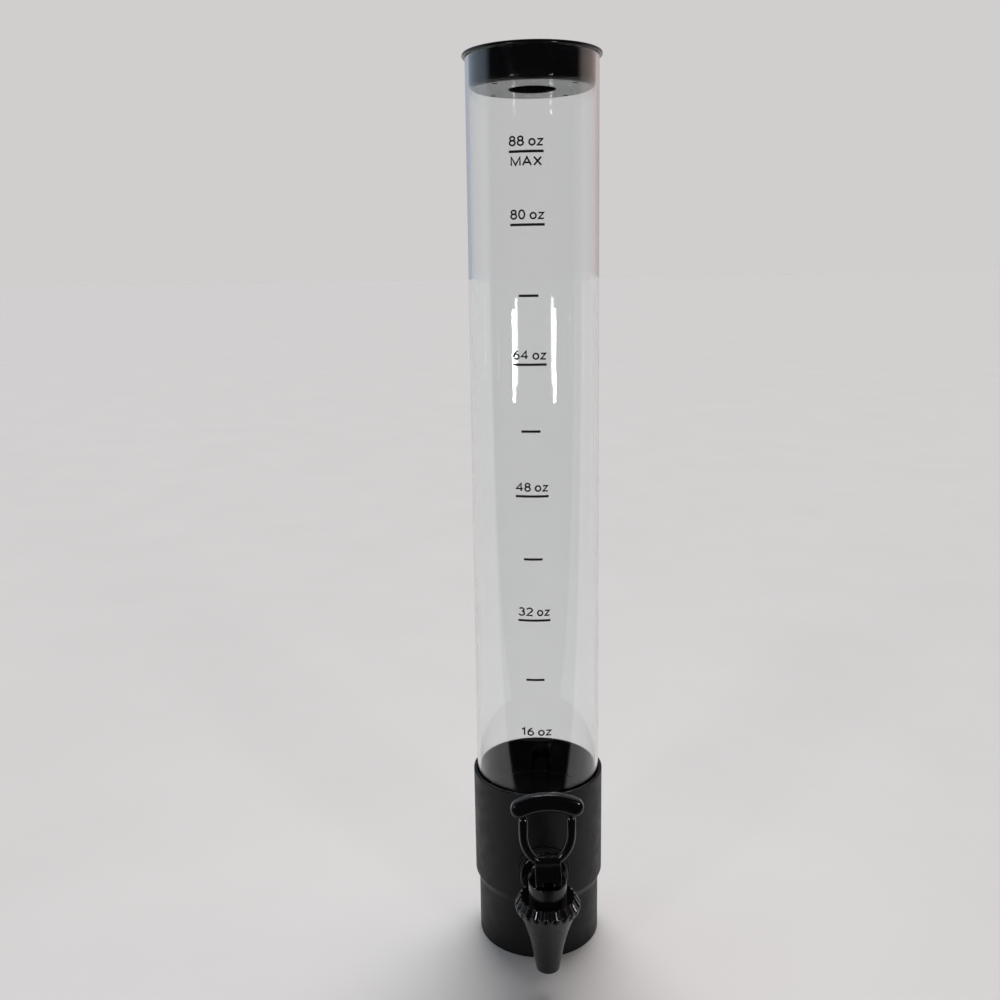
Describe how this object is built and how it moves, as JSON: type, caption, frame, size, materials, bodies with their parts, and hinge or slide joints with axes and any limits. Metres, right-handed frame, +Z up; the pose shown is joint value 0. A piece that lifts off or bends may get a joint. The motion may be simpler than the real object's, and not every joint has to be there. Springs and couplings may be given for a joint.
{
  "type": "drink tower dispenser",
  "caption": "Tall clear graduated tube standing in a dark moulded base, with a push-in lid and a front lever tap that lifts a spring-closed valve.",
  "frame": {"origin": "centre of the base's round foot, on the table", "axes": "+Z up along the tube; -Y towards the tap and the person who pours; +X to the right of the tap seen from behind it"},
  "size_m": [0.0948, 0.1527, 0.627],
  "materials": {
    "satin_black": "moulded, fine matt grain",
    "gloss_black": "moulded, glossy",
    "satin_grey": "moulded, satin",
    "clear_plastic": "extruded, clear",
    "white_plastic": "moulded",
    "silicone": "moulded, matt",
    "steel": "drawn",
    "black_rubber": "moulded, matt"
  },
  "bodies": {
    "tower": {"base": "satin_black", "tube_seal": "black_rubber", "tank_tube": "clear_plastic", "tap_body": "gloss_black", "outer_washer": "black_rubber", "inner_washer": "black_rubber", "shank_nut": "satin_black", "nozzle": "satin_grey", "nozzle_seal": "silicone", "stem_o_ring": "black_rubber", "spring_washer": "steel", "stem_spring": "steel"},
    "lid": {"lid": "gloss_black"},
    "stem": {"valve_stem": "white_plastic", "spring_clip": "steel", "seat_cup": "silicone", "lever_pin": "steel"},
    "lever": {"lever": "gloss_black"}
  },
  "joints": [
    {"name": "lid_lift", "type": "slide", "parent": "tower", "child": "lid", "axis": [0, 0, 1], "range_m": [0, 0.035]},
    {"name": "stem_lift", "type": "slide", "parent": "tower", "child": "stem", "axis": [0, 0, 1], "range_m": [0, 0.004], "stiffness_N_per_m": 960, "springref_m": -0.006, "deforming": ["stem_spring"]},
    {"name": "handle_tip", "type": "hinge", "parent": "stem", "child": "lever", "pos_m": [0, -0.083, 0.09365], "axis": [1, 0, 0], "range_deg": [0, 40]}
  ],
  "couplings": [
    {"joint": "handle_tip", "follows": "stem_lift", "rad_per_m": 174.53}
  ]
}
